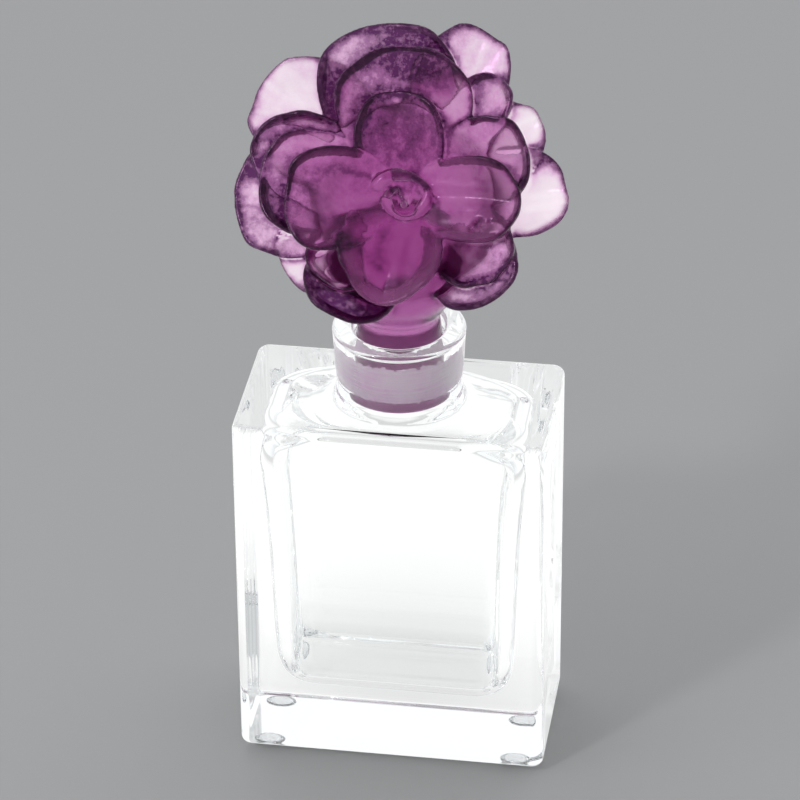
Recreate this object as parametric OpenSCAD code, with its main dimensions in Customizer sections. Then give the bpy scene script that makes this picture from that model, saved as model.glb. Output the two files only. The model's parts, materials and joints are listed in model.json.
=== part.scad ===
// Glass perfume bottle with a cast flower stopper.
// A thick-walled rectangular bottle stands on four clear bumper feet. Its ground neck takes the
// straight ground plug of a purple glass stopper, whose head is an open flower that leans back.
//
// Axes: +Z is up, -Y is the front that the flower faces, +X is the bottle's right-hand side.
// Origin: on the neck axis, in the plane that the undersides of the feet rest on.
// All lengths are in millimetres and all angles are in degrees.

/* [Bottle] */
// Width of the glass block, left to right
block_w = 70; // [66:1:78]
// Depth of the glass block, front to back
block_d = 37.6; // [36:0.2:44]
// Height of the glass block, underside to shoulder
block_h = 86; // [82:1:100]
// Rounding of the block's four upright edges
upright_edge_r = 2.8; // [2:0.1:4]
// Rounding of the block's top and bottom edges
rim_edge_r = 1.6; // [1:0.1:2.5]
// Thickness of solid glass under the cavity
base_t = 14; // [10:0.5:16]

/* [Neck] */
// Height of the neck above the shoulder
neck_h = 18.4; // [17:0.2:24]
// Outer radius at the foot of the neck
neck_foot_r = 14; // [13.5:0.1:15]
// Outer radius under the lip
neck_lip_r = 14.8; // [14.4:0.1:16]
// Rounding of the fire-polished lip's outer edge
lip_r = 1; // [0.6:0.1:2.4]
// Height of the ground bore's lower end above the shoulder
bore_rise = 4.3; // [3:0.1:5]
// Radius of the ground bore that seats the plug
bore_r = 9.6; // [9:0.1:10]
// Length of the ground bore
bore_len = 11; // [9:0.5:12]
// Radial clearance between the plug and the bore
plug_clearance = 0.05; // [0.02:0.01:0.1]

/* [Feet] */
// Diameter of a bumper foot
foot_d = 7; // [6:0.5:8]
// Height of a bumper foot
foot_h = 1.8; // [1.5:0.1:2.5]
// Distance from the block's side faces to the middle of a foot
foot_inset_x = 6.5; // [5:0.5:9]
// Distance from the block's front and back faces to the middle of a foot
foot_inset_y = 6; // [5:0.5:8]

/* [Stopper] */
// How far the plug reaches below the ground bore
plug_reach = 2.5; // [1.5:0.5:4]
// Height of the flower's middle above the lip of the neck
bloom_rise = 32.4; // [30:0.2:35]
// How far the flower's middle stands to the right of the neck axis
bloom_shift = 1.8; // [-3:0.2:3]
// How far the flower's middle stands in front of the neck axis
bloom_forward = 1.5; // [0:0.5:3]
// Angle that the flower faces upward from straight ahead
bloom_tilt = 35; // [25:1:45]
// Overall size of the flower against its nominal 76 mm spread
bloom_scale = 1; // [0.9:0.02:1.1]

/* [Hidden] */
$fn = 96;

// Levels above the table
shoulder_z = foot_h + block_h;
lip_z = shoulder_z + neck_h;
bore_bottom_z = shoulder_z + bore_rise;
bore_top_z = bore_bottom_z + bore_len;
plug_bottom_z = bore_bottom_z - plug_reach;
plug_r = bore_r - plug_clearance;
bloom_z = lip_z + bloom_rise;

// Points on each quarter turn of a rounded-rectangle ring
corner_steps = 8;

// Cavity sections from the floor up, as [level above the glass underside, half width, half depth,
// corner radius]. The walls thin toward the shoulder and the ceiling closes to the throat.
cavity_sections = [
    [base_t, 20, 6, 4.2],
    [base_t + 0.9, 23.4, 8.6, 5.4],
    [base_t + 2.6, 25.4, 10, 6.4],
    [base_t + 6, 26.8, 10.9, 7.2],
    [base_t + 12, 27.5, 11.3, 7.6],
    [base_t + 22, 27.9, 11.7, 7.8],
    [base_t + 36, 28.5, 12.4, 8],
    [base_t + 48, 29.2, 13.2, 8.2],
    [block_h - 16, 29.9, 13.8, 8.6],
    [block_h - 11, 30.2, 14, 9],
    [block_h - 7.4, 29.2, 13.8, 9.6],
    [block_h - 4.6, 26, 13.3, 10],
    [block_h - 2.4, 20.5, 12.5, 10.4],
    [block_h - 0.6, 14.8, 11.6, 10.8],
    [block_h + 0.6, 11.6, 11.1, 11],
    [block_h + 1.6, 10.6, 10.6, 10.6],
    [block_h + bore_rise - 0.4, 10.1, 10.1, 10.1],
    [block_h + bore_rise + 0.6, 9.2, 9.2, 9.2],
];

// Petal outline and relief
outline_steps = 28;
petal_rings = [0.35, 0.65, 0.85, 0.96];
edge_fullness = 5;

// Petals as [name, tier, direction in degrees clockwise from the top, reach from the middle,
// half width, height added along the bloom axis, backward curl of the tip].
petals = [
    ["inner_petal_top", 0, -8, 22.5, 10, -1, 0.5],
    ["inner_petal_right", 0, 90, 26, 9.5, 0, 1],
    ["inner_petal_bottom", 0, 186, 23.5, 11.5, 0.5, 1.5],
    ["inner_petal_left", 0, 265, 25.5, 11, 1, 1],
    ["middle_petal_top", 1, -4, 32, 15.5, 1.5, 0.5],
    ["middle_petal_top_right", 1, 36, 33.5, 7, -2, 1],
    ["middle_petal_upper_right", 1, 64, 29, 10.5, 0.5, 1],
    ["middle_petal_lower_right", 1, 122, 27, 9.5, -1, 2],
    ["middle_petal_lower_left", 1, 222, 25.5, 8.5, -1, 1],
    ["middle_petal_left", 1, 274, 31.5, 12, 1, 1],
    ["middle_petal_upper_left", 1, 287, 35, 10.5, -1.5, 1],
    ["outer_petal_top", 2, -13, 38, 16, 3, 0.5],
    ["outer_petal_upper_right", 2, 21, 40.5, 11, 0, 2],
    ["outer_petal_right_high", 2, 56, 34.5, 9, -1.5, 2],
    ["outer_petal_right", 2, 83, 35.5, 10.5, 0, 2],
    ["outer_petal_lower_right", 2, 131, 30, 11, 1, 1],
    ["outer_petal_bottom", 2, 208, 30.5, 11, 2.5, -1.5],
    ["outer_petal_lower_left", 2, 234, 31.5, 9.5, -1, 2],
    ["outer_petal_left", 2, 266, 37.5, 13.5, 1, 2],
    ["outer_petal_upper_left", 2, 307, 41, 14, -1, 2],
];

// Tiers as [distance of the petal's root from the middle, root height, tip height, cup across
// the petal, thickness at the root, thickness at the tip].
tiers = [
    [1, 0.5, 7.5, 3, 5, 3.6],
    [7, -4.5, 5, 3, 5.5, 3.6],
    [9, -9.5, 1, 2.5, 6, 3.4],
];

// Back of the flower as [radius, height along the bloom axis], from the middle of the back
calyx_profile = [
    [0, -16.5],
    [6, -16],
    [12, -14],
    [17, -10.8],
    [20.5, -7],
    [21.5, -4],
    [19, -1.8],
    [12, -0.4],
    [0, 0.4],
];

// Stem of the stopper as [radius, height above the lip], from the plug to inside the calyx
stem_profile = [
    [9.3, 0],
    [8.9, 2.5],
    [9.4, 4],
    [11.4, 6.5],
    [14, 10],
    [16, 15],
    [15.5, 20],
    [10, 25],
    [0, 26],
];

// Bud in the middle of the flower
bud_ring_r = 4.2;
bud_roll_r = 2.3;
bud_height = 3;
bud_bead_r = 1.5;
bud_beads = 5;

glass_colour = "lightcyan";
purple_colour = "mediumorchid";
deep_purple_colour = "purple";
foot_colour = "gainsboro";

feet = [
    ["foot_front_left", -1, -1],
    ["foot_front_right", 1, -1],
    ["foot_back_left", -1, 1],
    ["foot_back_right", 1, 1],
];

// One ring of a loft: a rectangle with round corners at one level
function ring(level, half_w, half_d, corner_r) = [
    for (quarter = [0:3])
        for (step = [0:corner_steps - 1])
            let (
                turn = 90 * quarter + 90 * step / (corner_steps - 1),
                side_x = quarter == 0 || quarter == 3 ? 1 : -1,
                side_y = quarter < 2 ? 1 : -1
            )
            [
                side_x * (half_w - corner_r) + corner_r * cos(turn),
                side_y * (half_d - corner_r) + corner_r * sin(turn),
                level
            ]
];

// Closed skin over a stack of rings that all have the same number of points
module loft(rings) {
    count = len(rings[0]);
    last = len(rings) - 1;
    walls = [
        for (i = [0:last - 1])
            for (k = [0:count - 1])
                let (next = (k + 1) % count)
                [i * count + k, (i + 1) * count + k, (i + 1) * count + next, i * count + next]
    ];
    floor_face = [for (k = [0:count - 1]) k];
    top_face = [for (k = [count - 1:-1:0]) last * count + k];
    polyhedron(
        points = [for (r = rings) each r],
        faces = concat([floor_face], walls, [top_face]),
        convexity = 4
    );
}

// Places its children in the flower's own frame: +Y up the face, +Z out of the bloom
module in_bloom() {
    translate([bloom_shift, -bloom_forward, bloom_z])
        rotate([90 - bloom_tilt, 0, 0])
            scale(bloom_scale)
                children();
}

// Block with rounded edges, from the underside of the glass to the shoulder
module glass_block() {
    side_x = block_w / 2 - upright_edge_r;
    side_y = block_d / 2 - upright_edge_r;
    hull()
        for (x = [-side_x, side_x], y = [-side_y, side_y], z = [rim_edge_r, block_h - rim_edge_r])
            translate([x, y, foot_h + z])
                rotate_extrude($fn = 48)
                    intersection() {
                        translate([upright_edge_r - rim_edge_r, 0])
                            circle(r = rim_edge_r, $fn = 24);
                        translate([0, -rim_edge_r])
                            square([upright_edge_r, 2 * rim_edge_r]);
                    }
}

// Solid of the neck before it is bored: a flared foot, a slight outward taper and a round lip
module neck_body() {
    foot_flare = 2.6;
    foot_sink = 1.2;
    rotate_extrude()
        union() {
            polygon([
                [0, shoulder_z - foot_sink],
                [neck_foot_r + foot_flare + 0.6, shoulder_z - foot_sink],
                [neck_foot_r + foot_flare, shoulder_z - 0.3],
                [neck_foot_r + 1.5, shoulder_z + 0.4],
                [neck_foot_r + 0.7, shoulder_z + 1.2],
                [neck_foot_r + 0.2, shoulder_z + 2.4],
                [neck_foot_r, shoulder_z + 4],
                [neck_lip_r, lip_z - lip_r],
                [neck_lip_r - lip_r, lip_z - 0.02],
                [0, lip_z - 0.02],
            ]);
            translate([neck_lip_r - lip_r, lip_z - lip_r])
                circle(r = lip_r);
        }
}

// Hollow of the neck: the ground bore below a wider mouth with a softened edge
module neck_bore() {
    mouth_r = bore_r + 0.5;
    translate([0, 0, bore_bottom_z])
        cylinder(r = bore_r, h = neck_h);
    translate([0, 0, bore_top_z])
        cylinder(r = mouth_r, h = neck_h);
    translate([0, 0, lip_z - 1])
        cylinder(r1 = mouth_r, r2 = mouth_r + 1.2, h = 1.01);
}

module cavity() {
    translate([0, 0, foot_h])
        loft([for (s = cavity_sections) ring(s[0], s[1], s[2], s[3])]);
}

module bottle() {
    color(glass_colour, 0.4)
        difference() {
            union() {
                glass_block();
                neck_body();
            }
            cavity();
            neck_bore();
        }
}

// Stick-on bumper: a low dome with a flat tip that it rests on
module foot(side_x, side_y) {
    tip_r = foot_d / 2 - 1.1;
    color(foot_colour)
        translate([
            side_x * (block_w / 2 - foot_inset_x),
            side_y * (block_d / 2 - foot_inset_y),
            0
        ])
            rotate_extrude()
                polygon([
                    [0, 0],
                    [tip_r, 0],
                    [tip_r + 0.6, 0.2 * foot_h],
                    [tip_r + 0.95, 0.45 * foot_h],
                    [foot_d / 2, 0.75 * foot_h],
                    [foot_d / 2, foot_h],
                    [0, foot_h],
                ]);
}

// Ground plug of the stopper, with a small bevel round its lower end
module stopper_plug() {
    bevel = 0.5;
    color(purple_colour)
        translate([0, 0, plug_bottom_z]) {
            cylinder(r1 = plug_r - bevel, r2 = plug_r, h = bevel);
            translate([0, 0, bevel])
                cylinder(r = plug_r, h = bore_top_z - plug_bottom_z - bevel);
        }
}

// Fire-polished stem that swells from the plug into the back of the flower
module stopper_stem() {
    color(purple_colour)
        rotate_extrude()
            polygon(concat(
                [[0, bore_top_z - 0.5], [plug_r - 0.05, bore_top_z - 0.5], [plug_r - 0.1, bore_top_z + 1]],
                [for (p = stem_profile) [p[0], lip_z + p[1]]]
            ));
}

// Domed back that all the petals grow from
module flower_calyx() {
    color(purple_colour)
        in_bloom()
            rotate_extrude()
                polygon(calyx_profile);
}

// Rolled bud in the middle, a ring of glass round a few small beads
module flower_bud() {
    color(deep_purple_colour)
        in_bloom() {
            translate([0, 0, bud_height])
                rotate_extrude($fn = 48)
                    translate([bud_ring_r, 0])
                        circle(r = bud_roll_r, $fn = 32);
            translate([0, 0, -0.5])
                cylinder(r = bud_ring_r, h = bud_height, $fn = 48);
            for (i = [0:bud_beads - 1])
                rotate([0, 0, 360 * i / bud_beads])
                    translate([1.6, 0, bud_height + 0.4])
                        sphere(r = bud_bead_r, $fn = 32);
        }
}

// Height of a petal's middle surface, for a point [x, y] of a petal that points along +Y
function petal_height(x, y, tier, reach, half_w, raise, curl) =
    let (
        along = (y - tier[0]) / (reach - tier[0]),
        across = x / half_w,
        tip = max(0, along - 0.55) / 0.45
    )
    tier[1] + (tier[2] - tier[1]) * pow(max(0, along), 0.8) + raise
        + tier[3] * across * across * (0.4 + 0.6 * along) - curl * tip * tip;

// Rounds a square wave of a turn, so that an outline is fuller than an ellipse
function full(wave) = sign(wave) * pow(abs(wave), 0.9);

// Point of a petal's outline scaled to one ring, at a turn measured from the tip
function petal_point(turn, size, tier, reach, half_w) =
    let (
        half_len = (reach - tier[0]) / 2,
        egg = 0.12,
        lobe = 1 + 0.025 * cos(3 * turn)
    )
    [
        size * half_w * full(sin(turn)) * (1 + egg * cos(turn)) * lobe,
        tier[0] + half_len + size * half_len * full(cos(turn))
    ];

// Half the thickness of a petal, round at its edge
function petal_half_t(size, y, tier, reach) =
    let (along = (y - tier[0]) / (reach - tier[0]))
    0.5 * (tier[4] + (tier[5] - tier[4]) * along) * sqrt(max(0, 1 - pow(size, edge_fullness)));

// One ring of a petal's front (side = 1) or back (side = -1) face
function petal_ring(size, side, tier, reach, half_w, raise, curl) = [
    for (k = [0:outline_steps - 1])
        let (
            flat = petal_point(360 * k / outline_steps, size, tier, reach, half_w),
            height = petal_height(flat[0], flat[1], tier, reach, half_w, raise, curl),
            half_t = petal_half_t(size, flat[1], tier, reach)
        )
        [flat[0], flat[1], height + side * half_t]
];

// Middle point of a petal's front or back face
function petal_pole(side, tier, reach, half_w, raise, curl) =
    let (y = (tier[0] + reach) / 2)
    [0, y, petal_height(0, y, tier, reach, half_w, raise, curl) + side * petal_half_t(0, y, tier, reach)];

// One petal: a closed shell of rings from the middle of its front round the edge to the back
module petal(p) {
    tier = tiers[p[1]];
    reach = p[3];
    half_w = p[4];
    raise = p[5];
    curl = p[6];
    last_ring = len(petal_rings) - 1;
    rings = concat(
        [for (s = petal_rings) petal_ring(s, 1, tier, reach, half_w, raise, curl)],
        [petal_ring(1, 1, tier, reach, half_w, raise, curl)],
        [for (i = [last_ring:-1:0]) petal_ring(petal_rings[i], -1, tier, reach, half_w, raise, curl)]
    );
    points = concat(
        [petal_pole(1, tier, reach, half_w, raise, curl)],
        [for (r = rings) each r],
        [petal_pole(-1, tier, reach, half_w, raise, curl)]
    );
    n = outline_steps;
    back_pole = len(points) - 1;
    front_fan = [for (k = [0:n - 1]) [0, 1 + k, 1 + (k + 1) % n]];
    back_fan = [
        for (k = [0:n - 1])
            [back_pole, back_pole - n + (k + 1) % n, back_pole - n + k]
    ];
    bands = [
        for (i = [0:len(rings) - 2])
            for (k = [0:n - 1])
                let (
                    a = 1 + i * n + k,
                    b = 1 + i * n + (k + 1) % n
                )
                each [[a, a + n, b], [b, a + n, b + n]]
    ];
    color(p[1] == 0 ? deep_purple_colour : purple_colour)
        in_bloom()
            rotate([0, 0, -p[2]])
                polyhedron(points = points, faces = concat(front_fan, bands, back_fan), convexity = 6);
}

bottle();
for (f = feet) foot(f[1], f[2]);
stopper_plug();
stopper_stem();
flower_calyx();
flower_bud();
for (p = petals) petal(p);
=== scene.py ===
"""Perfume bottle with a flower stopper: the looks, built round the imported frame.

Three kinds of piece are made here. The bottle is one closed skin, out over the block, neck and lip
and back down the bore and round the cavity. The stopper is the frame's plug, stem, calyx, bud and
petals grown together into one casting. The feet are small clear bumpers.
"""
import json
import math

import bmesh
import bpy
import numpy as np
from mathutils import Matrix, Vector, noise
from mathutils.bvhtree import BVHTree
from mathutils.kdtree import KDTree


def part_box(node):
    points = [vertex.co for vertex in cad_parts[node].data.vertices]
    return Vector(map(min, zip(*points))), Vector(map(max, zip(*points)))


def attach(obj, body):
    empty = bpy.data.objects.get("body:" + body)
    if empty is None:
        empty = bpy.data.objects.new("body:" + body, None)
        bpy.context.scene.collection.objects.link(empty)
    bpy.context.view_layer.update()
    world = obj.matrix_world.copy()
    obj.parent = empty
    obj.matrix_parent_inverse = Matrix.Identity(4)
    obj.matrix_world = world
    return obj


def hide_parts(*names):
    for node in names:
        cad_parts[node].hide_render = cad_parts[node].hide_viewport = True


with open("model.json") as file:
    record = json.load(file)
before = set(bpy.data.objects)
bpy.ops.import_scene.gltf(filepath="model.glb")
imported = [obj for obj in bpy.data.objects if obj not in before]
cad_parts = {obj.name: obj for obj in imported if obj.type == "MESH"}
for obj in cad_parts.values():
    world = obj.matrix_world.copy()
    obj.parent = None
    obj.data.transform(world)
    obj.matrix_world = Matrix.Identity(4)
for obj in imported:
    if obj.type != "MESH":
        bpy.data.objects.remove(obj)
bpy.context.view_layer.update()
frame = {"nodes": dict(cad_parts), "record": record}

MM = 0.001
# How far the plug shows below the ground bore, and its clearance in it
PLUG_REACH = 2.5 * MM
PLUG_CLEARANCE = 0.05 * MM

# ---------------------------------------------------------------- sizes from the frame
FEET = ["foot_front_left", "foot_front_right", "foot_back_left", "foot_back_right"]
STOPPER = list(frame["record"]["behaviour"]["bodies"]["stopper"])
PETALS = [n for n in STOPPER if "_petal_" in n]

bottle_low, bottle_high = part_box("bottle")
plug_low, plug_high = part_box("stopper_plug")
bud_low, bud_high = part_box("flower_bud")
glass_z = bottle_low.z
lip_z = bottle_high.z
half_w = bottle_high.x
half_d = bottle_high.y
plug_r = plug_high.x
bore_r = plug_r + PLUG_CLEARANCE
bore_top_z = plug_high.z
bore_bottom_z = plug_low.z + PLUG_REACH
bloom = (bud_low + bud_high) / 2
BLOOM_TILT = math.radians(35)
bloom_out = Vector((0, -math.cos(BLOOM_TILT), math.sin(BLOOM_TILT)))
bloom_up = Vector((0, math.sin(BLOOM_TILT), math.cos(BLOOM_TILT)))
bloom_side = Vector((1, 0, 0))

# ---------------------------------------------------------------- bottle sizes, millimetres
BLOCK_H = 86
UPRIGHT_EDGE_R = 2.8
RIM_EDGE_R = 1.6
NECK_FOOT_R = 14
NECK_LIP_R = 14.8
LIP_R = 1
MOUTH_WIDER = 0.5

# Cavity from the floor up: level above the underside, half width, half depth, corner radius
CAVITY = [
    (14.0, 17.5, 4.0, 3.5), (14.15, 20.5, 6.4, 4.4), (14.9, 23.4, 8.6, 5.4),
    (16.6, 25.4, 10.0, 6.4), (20, 26.8, 10.9, 7.2), (26, 27.5, 11.3, 7.6),
    (36, 27.9, 11.7, 7.8), (50, 28.5, 12.4, 8.0), (62, 29.2, 13.2, 8.2),
    (70, 29.9, 13.8, 8.6), (75, 30.2, 14.0, 9.0), (78.6, 29.2, 13.8, 9.6),
    (81.4, 26.0, 13.3, 10.0), (83.6, 20.5, 12.5, 10.4), (85.4, 14.8, 11.6, 10.8),
    (86.6, 11.6, 11.1, 11.0), (87.6, 10.6, 10.6, 10.6),
]
CAVITY_RINGS = 150
# Level where the cavity starts to turn round, over how far, and how much its floor is dished
ROUND_FROM = 82
ROUND_OVER = 5.6
FLOOR_DISH = 0.15

# Rings down the ground bore, closer together where the grinding starts unevenly
BORE_ROWS = [0.3, 0.6, 0.9, 1.2, 1.5, 1.8, 2.2, 3, 4, 5, 6, 7, 8, 9, 10, 10.6, 11]

# Where the grinding starts and ends down the bore, each with how uneven it is
GROUND_START, START_UNEVEN = 2.0, 1.3
GROUND_END, END_UNEVEN = 10.9, 0.6

GLASS_IOR = 1.5
# Points round every ring of the bottle's skin, and the size of the waves in its inner walls
RING_POINTS = 200
WALL_WAVE = 0.035

# How far a foot's top lies inside the underside, in millimetres, and the points round a foot
GLUE_WET = 0.12
FOOT_POINTS = 64

# Voxel size of the fused stopper
STOPPER_VOXEL = 0.4 * MM

# ---------------------------------------------------------------- petal shapes, millimetres
PETAL_STEPS = 120
# Per tier: height of the face over the frame's middle surface, extra lift at the rim, radius of
# the rolled rim, depth of the back, unevenness of the outline, width of the dark rim (colour
# powder with painted shade), depth of colour, and width of the painted shadow band that the rim
# throws on the petals behind it
TIERS = {
    "inner": {"face": 0.9, "lift": 0.7, "bead": 0.6, "depth": 4.5, "ruffle": 0.02,
              "rim": 0.8, "tone": 1.0, "shade": 1.5},
    "middle": {"face": 0.8, "lift": 0.8, "bead": 0.6, "depth": 4.0, "ruffle": 0.026,
               "rim": 1.3, "tone": 0.95, "shade": 1.2},
    "outer": {"face": 0.5, "lift": 0.6, "bead": 0.65, "depth": 1.2, "ruffle": 0.03,
              "rim": 1.5, "tone": 0.4, "shade": 0.9},
}
# Single petals, with angles in degrees clockwise from the tip. shape: dents and points of the
# outline (angle, spread, size). fold: stretches of rim turned up (angle, spread, rise). dark: where
# the dark rim is wider, partly painted shade on the side turned from the light (angle, spread,
# extra width). stain: deeper parts (angle, spread, amount). cast: where the painted shadow band
# behind is wider (angle, spread, extra width). crease: depth of the fold down the middle. tone:
# depth of its colour. wedge: whether it thins out to its rim.
PETAL_LOOKS = {
    "inner_petal_top": {
        "crease": 0.6, "shape": [(-50, 0.1, -0.03)], "dark": [(-60, 0.6, 0.6), (10, 0.4, 1.0)],
        "stain": [(0, 1.5, 0.3)], "cast": [(-10, 0.6, 1.6), (60, 0.3, -0.6)], "tone": 1.4},
    "inner_petal_right": {
        "crease": 0.6, "shape": [(60, 0.1, 0.04), (-30, 0.06, -0.03)], "dark": [(-50, 0.4, 0.6)],
        "stain": [(10, 0.9, 0.5)], "tone": 0.35,
        "cast": [(70, 0.6, -0.7), (-30, 0.2, 0.5)]},
    "inner_petal_bottom": {
        "wedge": True, "crease": 1.1,
        "shape": [(0, 0.12, 0.07), (50, 0.15, -0.08), (-45, 0.15, -0.10), (110, 0.1, 0.05)],
        # The negative stain and the narrower dark rim at the tip paint it paler: painted light
        # where the tip catches it
        "dark": [(50, 0.3, 0.4), (-60, 0.3, -0.5), (0, 0.4, -0.5)], "stain": [(0, 0.4, -0.6)],
        "tone": 0.75, "cast": [(0, 3, -0.8)]},
    "inner_petal_left": {
        "crease": 0.5, "shape": [(-62, 0.3, 0.14), (10, 0.08, -0.03)], "fold": [(-40, 0.2, 0.5)],
        "dark": [(20, 1.2, 0.6)], "stain": [(-10, 0.7, 0.45), (-70, 0.3, -0.2)],
        "cast": [(0, 1.5, 0.8), (-50, 0.1, 0.6)]},
    "middle_petal_top": {
        "shape": [(-40, 0.1, -0.03), (15, 0.05, 0.02)], "dark": [(-60, 0.5, 1.2), (8, 0.35, 5.0)],
        "stain": [(-10, 0.8, 0.6), (70, 0.3, -0.7)], "cast": [(25, 0.6, 2.6), (-70, 0.3, 1.0)]},
    "middle_petal_top_right": {"crease": 0.6, "dark": [(-40, 0.4, 1.0)], "tone": 0.85},
    "middle_petal_upper_right": {
        "shape": [(-30, 0.06, 0.04), (20, 0.05, -0.03)], "dark": [(50, 0.4, 0.6), (-40, 0.4, 0.6)],
        "tone": 0.75},
    "middle_petal_lower_right": {
        "shape": [(-20, 0.05, 0.04), (40, 0.06, -0.04)], "dark": [(60, 0.8, 1.2)],
        "stain": [(-60, 0.8, -0.2), (0, 0.6, 0.6)], "tone": 1.0},
    "middle_petal_lower_left": {
        "shape": [(30, 0.08, 0.04)], "dark": [(-20, 0.5, 0.2)], "tone": 0.45},
    "middle_petal_left": {
        "shape": [(20, 0.08, 0.04)], "dark": [(-40, 0.8, 2.6)], "stain": [(-30, 0.8, 0.3)],
        "tone": 0.8},
    "middle_petal_upper_left": {
        "shape": [(-10, 0.06, 0.04), (45, 0.05, -0.04)], "dark": [(-60, 0.5, 1.0), (30, 0.5, 0.8)],
        "stain": [(0, 1.5, 0.45)], "cast": [(0, 1.5, 0.6)]},
    "outer_petal_top": {
        "fold": [(-72, 0.10, 2.0)], "dark": [(-80, 0.25, 4.2), (40, 0.5, 2.6)],
        "stain": [(40, 0.6, 1.5), (110, 0.5, 1.5), (-75, 0.2, 0.5)], "tone": 1.1},
    "outer_petal_upper_right": {
        "shape": [(25, 0.03, 0.05), (-25, 0.05, 0.03)], "dark": [(-55, 0.25, 2.4)], "tone": 0.8},
    "outer_petal_right_high": {
        "shape": [(-20, 0.04, 0.04)], "dark": [(30, 0.15, 1.6)], "tone": 0.3},
    "outer_petal_right": {"shape": [(10, 0.03, 0.06)], "dark": [(-40, 0.08, 3.0)], "tone": 0.25},
    "outer_petal_lower_right": {
        "fold": [(30, 0.3, 0.8)], "dark": [(20, 0.9, 2.6)], "stain": [(60, 0.2, 0.4)]},
    "outer_petal_bottom": {"fold": [(0, 0.6, 1.2)], "dark": [(0, 2.0, 3.5)], "tone": 1.8},
    "outer_petal_lower_left": {"dark": [(-40, 0.2, 1.2)], "tone": 0.4},
    "outer_petal_left": {
        "shape": [(-40, 0.05, 0.04)], "dark": [(55, 0.15, 4.0), (-10, 0.6, 0.8)],
        "stain": [(60, 0.3, 0.5), (-30, 0.4, 0.3)], "tone": 1.05},
    "outer_petal_upper_left": {
        "shape": [(-40, 0.03, 0.04), (20, 0.03, 0.04)], "crease": 0.25,
        "dark": [(60, 0.1, 1.2)], "tone": 0.4},
}
# Pits in the face: place to the side and up from the middle, radius and depth
PITS = [(17.0, -5.2, 1.0, 1.0), (15.6, -6.4, 0.6, 0.6), (19.6, -4.8, 0.5, 0.4)]
# Dark lines of painted shade in the face, along folds, crevices and petal borders, round the bud
# and round the pits: two ends, width and strength
STREAKS = [
    (16.2, -6.0, 17.6, -4.2, 0.75, 1.0), (17.6, -4.8, 21.0, -4.6, 0.3, 0.6),
    (15.4, 4.4, 17.8, 3.6, 0.3, 0.5), (15.8, 2.2, 18.6, 1.8, 0.28, 0.5),
    (13.2, -8.2, 16.6, -8.6, 0.3, 0.45), (16.8, 7.2, 16.4, 5.4, 0.5, 0.5),
    (-2.9, 1.6, -2.2, 0.2, 0.5, 1.1), (-1.5, 1.9, -0.9, 1.5, 0.4, 1.0),
    (-0.9, 0.2, -0.2, -0.9, 0.5, 1.0), (-4.0, 3.6, 1.6, 4.4, 0.7, 0.7),
    (1.6, 4.4, 5.6, 1.6, 0.9, 0.9), (5.6, 1.6, 6.6, -2.0, 0.7, 0.8),
    (6.6, -2.0, 4.6, -4.6, 0.5, 0.5), (2.6, 1.8, 4.2, -0.4, 0.5, 0.6),
    (6.2, -7.0, 7.2, -10.5, 0.5, 0.6), (-14.0, 4.6, -6.0, 3.2, 0.7, 0.45),
    (-17.2, -7.2, -7.0, -5.6, 1.5, 0.35), (-12.0, -10.0, -3.0, -16.5, 1.2, 0.5),
    (-9.5, -11.5, -2.0, -15.0, 0.8, 0.45), (-3.6, -8.5, -4.4, -13.5, 1.3, 0.4),
    (-11.4, 9.0, -8.6, 16.5, 1.2, 0.55), (-6.5, 10.5, -5.5, 15.5, 2.2, 0.35),
    (7.4, 0.0, 8.6, -7.0, 0.7, 0.6), (-4.0, 26.0, 8.0, 24.4, 2.0, 0.75),
    (0.0, 28.6, 8.6, 27.0, 1.6, 1.0), (-16.4, 25.0, -18.8, 17.0, 1.5, 0.6),
    (-20.5, -1.0, -15.0, 5.0, 1.4, 0.35), (10.8, -3.0, 20.0, -1.6, 1.6, 0.25),
    (1.6, -9.6, 1.2, -15.0, 0.6, 0.35), (-1.0, 8.5, 3.0, 14.5, 1.0, 0.3),
]
# Colour of the glass surface from the palest parts to the darkest rims and painted shadow bands,
# the rims' dark being colour powder with painted shade: depth and colour
TONES = [
    (0.0, (0.99, 0.955, 0.97)), (1.0, (0.60, 0.27, 0.54)), (1.6, (0.18, 0.05, 0.165)),
    (2.4, (0.012, 0.001, 0.014)),
]
DEEPEST = TONES[-1][0]
# Depth of colour of the calyx in front, of the hidden heart, added by a rim's painted shadow band
# or a painted shade streak, and added by the dark rim (colour powder with painted shade)
CALYX_TONE = 0.35
HEART_TONE = 0.5
PAINTED_SHADE_TONE = 1.5
RIM_TONE = 1.9
# How satin the face, the back, the stem and the ground plug are
FACE_SATIN = 0.15
BACK_SATIN = 0.5
STEM_SATIN = 0.14
PLUG_SATIN = 0.4
# What the body of the casting lets through, and how fast it absorbs the rest, per metre
BODY_COLOUR = (0.62, 0.08, 0.54, 1)
BODY_DENSITY = 105
# Level above the lip where the flower starts
FLOWER_FROM = 14 * MM


# ---------------------------------------------------------------- helpers
def curve_through(rows, count):
    """Rows of numbers resampled evenly along a smooth curve through them."""
    p = np.array(rows, float)
    steps = np.linalg.norm(np.diff(p[:, :2], axis=0), axis=1)
    along = np.concatenate([[0], np.cumsum(steps)])
    slopes = np.diff(p, axis=0) / steps[:, None]
    before, after = steps[:-1, None], steps[1:, None]
    inner = (slopes[:-1] * after + slopes[1:] * before) / (before + after)
    lean = np.vstack([slopes[:1], inner, slopes[-1:]])
    out = []
    for s in np.linspace(0, along[-1], count):
        i = min(max(int(np.searchsorted(along, s, side="right")) - 1, 0), len(steps) - 1)
        h = steps[i]
        t = (s - along[i]) / h
        out.append((2 * t ** 3 - 3 * t ** 2 + 1) * p[i] + (t ** 3 - 2 * t ** 2 + t) * h * lean[i]
                   + (3 * t ** 2 - 2 * t ** 3) * p[i + 1] + (t ** 3 - t ** 2) * h * lean[i + 1])
    return np.array(out)


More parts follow.
